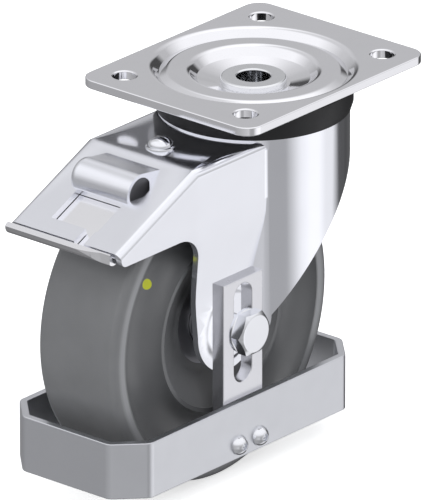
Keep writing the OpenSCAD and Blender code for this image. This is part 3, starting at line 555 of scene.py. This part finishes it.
# loops round the slot and round the outline, which a spoke at each angle meets at the nearer of the side and
# the end; both are inset by the edge round where they turn into the bar's faces
def strapPart(node, sizes):
    low, high = boxOf(node)
    t = np.linspace(0, 2 * np.pi, sizes["around"], endpoint=False)
    tip = np.stack([0 * t, np.where(np.sin(t) > 0, sizes["slotHigh"], sizes["slotLow"])], -1)
    spoke = np.stack([np.cos(t), np.sin(t)], -1)
    half, bottom, top = (high[0] - low[0]) / 2, low[2] - axle[2], high[2] - axle[2]
    middle = (sizes["slotLow"] + sizes["slotHigh"]) / 2
    rise = np.where(spoke[:, 1] > 0, top - middle, middle - bottom)
    across, along = np.maximum(abs(spoke), 1e-6).T
    outline = [0, middle] + np.minimum(half / across, rise / along)[:, None] * spoke
    for corner in np.array([[half, top], [-half, top], [-half, bottom], [half, bottom]]):
        outline[np.argmin(((outline - corner) ** 2).sum(1))] = corner

    # half circles about the slot's two centres, widened by the inset
    def slotLoop(inset):
        return tip + spoke * (sizes["slotRadius"] + inset)

    # the outline drawn in by the inset
    def outerLoop(inset):
        return np.stack([np.clip(outline[:, 0], inset - half, half - inset),
                         np.clip(outline[:, 1], bottom + inset, top - inset)], -1)

    cut = edgeRound(sizes["edgeRadius"])
    inwards, outwards = [slotLoop(i) for i, _ in cut], [outerLoop(i) for i, _ in cut]
    loops = inwards[::-1] + outwards + outwards[::-1] + inwards
    near, far = low[1], high[1]
    depths = np.concatenate([near + cut[::-1, 1], near + cut[:, 1], far - cut[::-1, 1], far - cut[:, 1]])
    points = np.stack([np.stack([loop[:, 0] + axle[0], np.full(len(t), depth), loop[:, 1] + axle[2]], -1)
                       for loop, depth in zip(loops, depths)])
    return points, gridFaces(len(loops), len(t), True, True)


for name, node in (("strapNear", "guard_strap_near"), ("strapFar", "guard_strap_far")):
    addPiece(name, [strapPart(node, strapSizes)], "strapZinc", "guard", [node])
print("straps made")

# Axle: hexagon head with a turned face, shank with a cut thread, nut and two washers
axleSizes = {"flats": 16.0, "faceRadius": 7.2, "faceRim": 0.35, "coneAngle": 30.0, "headHeight": 4.9,
             "nutHeight": 8.0, "nutBore": 4.8, "nutTurn": 10.0, "around": 192,
             # how far outside the round face, and how far below it, its edge begins
             "faceEdge": [(0.288, 0.12), (0.12, 0.0432), (0.0, 0.0)],
             "shankRadius": 5.0, "shankTip": 0.8, "shankLap": 1.0, "threadPitch": 1.5, "threadDepth": 0.45,
             "threadLength": 12.0, "threadRows": 65, "threadAround": 96, "washerRadius": 8.7,
             "washerBore": 5.1, "washerEdge": 0.35, "washerInnerEdge": 0.2, "washerEdgeSteps": 4,
             "washerAround": 96}


# hexagon about Z whose corners a cone takes off: the side's top edge drops with the distance from the round
# face; inner is the radius where the face ends, 0 for a closed face
def hexPart(sizes, height, inner, turn=0.0):
    t = np.linspace(0, 2 * np.pi, sizes["around"], endpoint=False)
    side = sizes["flats"] / 2 / np.cos(t % (np.pi / 3) - np.pi / 6)
    face = sizes["faceRadius"]
    full = np.ones(len(t))
    drop = height - (side - face) * math.tan(math.radians(sizes["coneAngle"]))
    rows = [(inner * full, 0 * full), (side, 0 * full), (side, drop)]
    rows += [((face + out) * full, (height - down) * full) for out, down in sizes["faceEdge"]]
    rows += [((face - sizes["faceRim"]) * full, height * full), (inner * full, height * full)]
    q = t + math.radians(turn)
    points = np.stack([np.stack([r * np.cos(q), r * np.sin(q), z], -1) for r, z in rows])
    return points, gridFaces(len(rows), len(t), inner > 0, True)


# shank from z0 to z1 with a helical thread over its first turns: the radius dips as the height less the share
# of a turn runs through each pitch
def shankPart(sizes, z0, z1):
    threadEnd = z0 + sizes["threadLength"]
    z = np.concatenate([[z0, z0], np.linspace(z0, threadEnd, sizes["threadRows"]), [z1]])
    t = np.linspace(0, 2 * np.pi, sizes["threadAround"], endpoint=False)
    phase = ((z[:, None] - z0) / sizes["threadPitch"] - t / (2 * np.pi)) % 1
    dip = sizes["threadDepth"] * abs(2 * phase - 1)
    dip[z > threadEnd - 0.01] = 0
    r = sizes["shankRadius"] - dip
    r[0], r[1], r[-1] = 0, sizes["shankRadius"] - sizes["shankTip"], sizes["shankRadius"]
    points = np.stack([r * np.cos(t), r * np.sin(t), z[:, None] + 0 * r], -1)
    return points, gridFaces(len(z), len(t), False, True)


# square section with rounded edges, turned about Z
def washerPart(sizes, thickness):
    bore, outer = sizes["washerBore"], sizes["washerRadius"]
    inner, edge = sizes["washerInnerEdge"], sizes["washerEdge"]
    section = [[bore, 0, inner], [outer, 0, edge], [outer, thickness, edge], [bore, thickness, inner]]
    return lathe(roundedLoop(section, sizes["washerEdgeSteps"]), sizes["washerAround"])


boltLow, boltHigh = boxOf("axle_bolt")
washerLow, washerHigh = boxOf("axle_washer_near")
seatY, washerThickness = boltHigh[1] - axleSizes["headHeight"], washerHigh[1] - washerLow[1]
boltHead = alongY(hexPart(axleSizes, axleSizes["headHeight"], 0.0), axle[0], seatY, axle[2])
boltShank = alongY(shankPart(axleSizes, boltLow[1], seatY + axleSizes["shankLap"]), axle[0], 0, axle[2])
nut = hexPart(axleSizes, axleSizes["nutHeight"], axleSizes["nutBore"], axleSizes["nutTurn"])
addPiece("axleBolt", [boltHead, boltShank], "boltChrome", "fork", ["axle_bolt"], 25)
addPiece("axleNut", [alongY(nut, axle[0], seatY, axle[2], -1)], "boltChrome", "fork",
         ["axle_nut"], 25)
for name, node, side in (("washerNear", "axle_washer_near", 1), ("washerFar", "axle_washer_far", -1)):
    washer = alongY(washerPart(axleSizes, washerThickness), axle[0], seatY - washerThickness, axle[2], side)
    addPiece(name, [washer], "boltChrome", "fork", [node])
print("axle dressed")

# Guard screws: domed heads with a six-lobed socket
screwSizes = {"headRadius": 4.0, "headHeight": 3.5, "shankRadius": 2.5, "shankLength": 8.2, "pitch": 12.0,
              "aboveGuardFoot": 5.5, "socketRadius": 1.55, "lobe": 0.22, "socketDepth": 1.6,
              "socketLip": 0.12, "socketTaper": (0.94, 0.9), "socketPoint": 0.3, "lobes": 6,
              "domeRows": 12, "around": 72}


# dome of a sphere's cap over the head's radius, drawn in from a circle to the lobed mouth of the socket,
# whose radius swells and shrinks six times round; then the socket's wall and floor
def screwPart(sizes):
    t = np.linspace(0, 2 * np.pi, sizes["around"], endpoint=False)
    full = np.ones((1, len(t)))
    head, rise = sizes["headRadius"], sizes["headHeight"]
    shank, length = sizes["shankRadius"], sizes["shankLength"]
    ball = (head ** 2 + rise ** 2) / (2 * rise)
    mouth = sizes["socketRadius"] + sizes["lobe"] * np.cos(sizes["lobes"] * t)
    share = np.sin(np.linspace(0, np.pi / 2, sizes["domeRows"]))[:, None]
    dome = head * (1 - share) + mouth * share
    height = rise - ball + np.sqrt(ball ** 2 - dome ** 2)
    wall, foot = sizes["socketTaper"]
    floorHeight = rise - sizes["socketDepth"]
    r = np.concatenate([0 * full, shank * full, shank * full, head * full, dome,
                        [mouth * wall], [mouth * foot], 0 * full])
    z = np.concatenate([-length * full, -length * full, 0 * full, 0 * full, height,
                        height[-1:] - sizes["socketLip"], floorHeight * full,
                        (floorHeight - sizes["socketPoint"]) * full])
    return np.stack([r * np.cos(t), r * np.sin(t), z], -1), gridFaces(len(r), len(t), False, True)


guardLow, guardHigh = boxOf("foot_guard")
screwHeight = guardLow[2] + screwSizes["aboveGuardFoot"]
screwPlaces = axle[0] + np.array([-1, 1]) * screwSizes["pitch"] / 2
screws = [alongY(screwPart(screwSizes), x, guardHigh[1], screwHeight, side)
          for x in screwPlaces for side in (-1, 1)]
addPiece("guardScrews", screws, "boltChrome", "guard", ["guard_screws"], 40)

# Web rivet: flanged dome on the web, its shank and its closed head below
rivetSizes = {"flange": 1.0, "domeRadius": 4.75, "domeHeight": 3.2, "shankRadius": 3.0, "tailRadius": 4.5,
              "tailHeight": 1.8, "tailBevel": 0.5, "domeRows": 14, "around": 96,
              # how far in from the flange's rim, and how far above the web, its rounded edge lies
              "flangeEdge": [(0, 0.55), (0.15, 0.85), (0.5, 1.0)]}


# section of tail, shank, flange and elliptic dome, turned about Z
def rivetPart(sizes):
    low, high = boxOf("web_rivet")
    middle, rim = (low[0] + high[0]) / 2, (high[0] - low[0]) / 2
    web = high[2] - sizes["domeHeight"] - sizes["flange"]
    tail, bevel, shank = sizes["tailRadius"], sizes["tailBevel"], sizes["shankRadius"]
    tailTop = low[2] + sizes["tailHeight"]
    turn = np.linspace(0, np.pi / 2, sizes["domeRows"])
    dome = np.stack([sizes["domeRadius"] * np.cos(turn),
                     high[2] - sizes["domeHeight"] * (1 - np.sin(turn))], -1)
    rows = [[0, low[2]], [tail - bevel, low[2]], [tail, low[2] + bevel], [tail, tailTop], [shank, tailTop],
            [shank, web], [rim, web]]
    rows += [[rim - inset, web + up] for inset, up in sizes["flangeEdge"]]
    points, faces = lathe(np.concatenate([rows, dome]), sizes["around"], closed=False)
    return points + [middle, 0, 0], faces


addPiece("webRivet", [rivetPart(rivetSizes)], "boltChrome", "fork", ["web_rivet"])
print("fasteners made")

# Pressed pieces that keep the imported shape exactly
smoothCopy("fork", "brightSheet")
smoothCopy("brake_pedal", "pressedCover")
print("pressings dressed")

# Inner pieces keep their own mesh and only take a finish
innerFinish = {
    "groundSteel": ["lower_race", "upper_balls", "lower_balls", "axle_sleeve", "shoe_rivets",
                    "bearing_inner_near", "bearing_inner_far", "bearing_balls_near", "bearing_balls_far"],
    # the bearings' outer rings take the dark shield finish as painted shade in the hub's recess
    "shieldSteelAndShade": ["bearing_shield_near", "bearing_shield_far", "bearing_outer_near", "bearing_outer_far"],
    "blackSteel": ["detent_spring", "pedal_pin", "pin_bush_near", "pin_bush_far", "brake_shoe"],
}
for finishName, names in innerFinish.items():
    for name in names:
        nodes[name].data.materials.clear()
        nodes[name].data.materials.append(finish[finishName])
print("inner pieces finished")

# Floor: white to the camera, with its own light added, and it keeps the shadow; metal doesn't reflect it
floorSizes = {"half": 4.0, "groundLevel": -150.0, "colour": (0.9, 0.9, 0.9), "roughness": 0.9,
              "ownLight": 0.62}


# square of half metres to each side of the origin, at the ground's height, which glows for camera rays only
def addFloor(sizes):
    half, height = sizes["half"], sizes["groundLevel"] * mm
    mesh = bpy.data.meshes.new("floor")
    corners = [(-half, -half, height), (half, -half, height), (half, half, height), (-half, half, height)]
    mesh.from_pydata(corners, [], [(0, 1, 2, 3)])
    floor = bpy.data.objects.new("floor", mesh)
    bpy.context.scene.collection.objects.link(floor)
    floor.visible_glossy = False
    material, tree, shader = newMaterial("whiteFloor")
    shader.inputs["Base Color"].default_value = (*sizes["colour"], 1)
    shader.inputs["Roughness"].default_value = sizes["roughness"]
    shader.inputs["Emission Color"].default_value = (1, 1, 1, 1)
    rays = tree.nodes.new("ShaderNodeLightPath")
    tree.links.new(spread(tree, rays.outputs["Is Camera Ray"], 0, sizes["ownLight"], 0, 1),
                   shader.inputs["Emission Strength"])
    mesh.materials.append(material)


addFloor(floorSizes)

# sky as stops of degrees and brightness; azimuth runs from +X towards +Y, height up from the horizon.
# deep and low go by azimuth below the horizon; above it, front, side and behind go by height, gap by azimuth.
# each edge gives where one turns into the next, by height or by azimuth, as a share from 0 to 1
skySizes = {
    "peak": 1.25, "blue": 1.02, "plainColour": (0.95, 0.97, 1.0), "plainStrength": 0.75,
    "deep": [(-178, 0.10), (-140, 0.12), (-110, 0.16), (-80, 0.18), (-55, 0.32), (-40, 0.38), (0, 0.40),
             (80, 0.32), (112, 0.38), (130, 0.90), (152, 0.92), (166, 0.15), (179, 0.10)],
    "low": [(-178, 0.08), (-150, 0.12), (-120, 0.30), (-60, 0.40), (-40, 0.42), (0, 0.50), (36, 0.60),
            (50, 0.66), (62, 0.42), (80, 0.42), (99, 1.0), (112, 1.15), (126, 1.15), (137, 0.94), (150, 0.94),
            (163, 0.10)],
    "front": [(-90, 0.40), (-5, 0.42), (10, 0.65), (24, 0.98), (45, 1.08), (90, 1.08)],
    "side": [(-90, 0.30), (0, 0.40), (20, 0.62), (50, 0.72), (65, 0.80), (90, 1.05)],
    "behind": [(0, 0.53), (27, 0.55), (36, 0.70), (50, 1.12), (90, 1.24)],
    "gap": [(-178, 0.07), (-157, 0.07), (-149, 0.55), (-140, 0.57), (-133, 0.08), (-116, 0.10)],
    "deepEdge": [(-38, 0), (-28, 1)], "lowEdge": [(-8, 0), (4, 1)], "gapEdge": [(14.5, 0), (20.5, 1)],
    "behindEdge": [(-178, 1), (-130, 1), (-112, 0), (150, 0), (170, 1)],
    "sideEdge": [(-178, 1), (-92, 1), (-64, 0), (179, 0)],
}


# world: white to the camera, plain to matt surfaces, and to glossy ones the sky that the sizes give
def reflectionSky(sizes):
    world = bpy.data.worlds.new("studio")
    bpy.context.scene.world = world
    world.use_nodes = True
    tree = world.node_tree
    tree.nodes.clear()
    link = tree.links.new
    split = tree.nodes.new("ShaderNodeSeparateXYZ")
    link(tree.nodes.new("ShaderNodeTexCoord").outputs["Generated"], split.inputs[0])
    turn = tree.nodes.new("ShaderNodeMath")
    turn.operation = "ARCTAN2"
    link(split.outputs["Y"], turn.inputs[0])
    link(split.outputs["X"], turn.inputs[1])
    azimuth = spread(tree, turn.outputs[0], 0, 1, -math.pi, math.pi)
    height = spread(tree, split.outputs["Z"], 0, 1, -1, 1)

    # brightness that runs from stop to stop, as a share of the peak
    def ramp(stops, source, place):
        node = tree.nodes.new("ShaderNodeValToRGB")
        while len(node.color_ramp.elements) < len(stops):
            node.color_ramp.elements.new(0.5)
        for element, (at, value) in zip(node.color_ramp.elements, stops):
            shade = value / sizes["peak"]
            element.position = place(at)
            element.color = (shade, shade, min(shade * sizes["blue"], 1), 1)
        link(source, node.inputs[0])
        return node.outputs[0]

    def byAzimuth(stops):
        return ramp(stops, azimuth, lambda degrees: (degrees + 180) / 360)

    def byHeight(stops):
        return ramp(stops, height, lambda degrees: (math.sin(math.radians(degrees)) + 1) / 2)

    # full white is 1 in a mask, so its stops are scaled up by the peak that ramp divides by
    def mask(name, by):
        return by([(at, share * sizes["peak"]) for at, share in sizes[name]])

    below = mixColour(tree, mask("deepEdge", byHeight), byAzimuth(sizes["deep"]), byAzimuth(sizes["low"]))
    beside = mixColour(tree, mask("sideEdge", byAzimuth), byHeight(sizes["front"]), byHeight(sizes["side"]))
    behind = mixColour(tree, mask("gapEdge", byHeight), byAzimuth(sizes["gap"]), byHeight(sizes["behind"]))
    above = mixColour(tree, mask("behindEdge", byAzimuth), beside, behind)
    whole = mixColour(tree, mask("lowEdge", byHeight), below, above)

    rays = tree.nodes.new("ShaderNodeLightPath")
    glossy, plain, white = (tree.nodes.new("ShaderNodeBackground") for _ in range(3))
    link(whole, glossy.inputs["Color"])
    glossy.inputs["Strength"].default_value = sizes["peak"]
    plain.inputs["Color"].default_value = (*sizes["plainColour"], 1)
    plain.inputs["Strength"].default_value = sizes["plainStrength"]
    white.inputs["Color"].default_value = (1, 1, 1, 1)
    first, second = (tree.nodes.new("ShaderNodeMixShader") for _ in range(2))
    link(rays.outputs["Is Glossy Ray"], first.inputs[0])
    link(plain.outputs[0], first.inputs[1])
    link(glossy.outputs[0], first.inputs[2])
    link(rays.outputs["Is Camera Ray"], second.inputs[0])
    link(first.outputs[0], second.inputs[1])
    link(white.outputs[0], second.inputs[2])
    link(second.outputs[0], tree.nodes.new("ShaderNodeOutputWorld").inputs[0])


reflectionSky(skySizes)

# Lights: round and soft, placed in metres from the castor's middle, and not reflected
lightSizes = {
    "middle": (0.03, 0.0, -0.075), "size": 0.9,
    "lamps": {"keyLight": {"away": (0.5, 0.9, 1.1), "power": 9},
              "fillLight": {"away": (1.2, -0.3, 0.5), "power": 4}},
}


# disk at middle + away that faces the middle
def softLight(name, away, power):
    data = bpy.data.lights.new(name, "AREA")
    data.shape = "DISK"
    data.size = lightSizes["size"]
    data.energy = power
    lamp = bpy.data.objects.new(name, data)
    bpy.context.scene.collection.objects.link(lamp)
    lamp.location = Vector(lightSizes["middle"]) + Vector(away)
    lamp.rotation_mode = "QUATERNION"
    lamp.rotation_quaternion = (-Vector(away)).to_track_quat("-Z", "Y")
    lamp.visible_glossy = False


for name, lamp in lightSizes["lamps"].items():
    softLight(name, lamp["away"], lamp["power"])

# Camera: parallel-looking view from far away with a very long lens; frameHeight millimetres fill the sensor
cameraSizes = {"towards": (0.7043, 0.6003, 0.3789), "aim": (30.6, 5.0, -64.9), "distance": 6.0,
               "frameHeight": 189.04, "sensor": 36.0, "clip": (0.1, 30)}
cameraData = bpy.data.cameras.new("camera")
camera = bpy.data.objects.new("camera", cameraData)
bpy.context.scene.collection.objects.link(camera)
bpy.context.scene.camera = camera
towards = Vector(cameraSizes["towards"]).normalized()
camera.location = Vector(cameraSizes["aim"]) * mm + towards * cameraSizes["distance"]
camera.rotation_mode = "QUATERNION"
camera.rotation_quaternion = (-towards).to_track_quat("-Z", "Y")
cameraData.sensor_width = cameraSizes["sensor"]
cameraData.lens = cameraSizes["sensor"] * cameraSizes["distance"] / (cameraSizes["frameHeight"] * mm)
cameraData.clip_start, cameraData.clip_end = cameraSizes["clip"]
bpy.context.scene.view_settings.view_transform = "Standard"
print("studio ready")
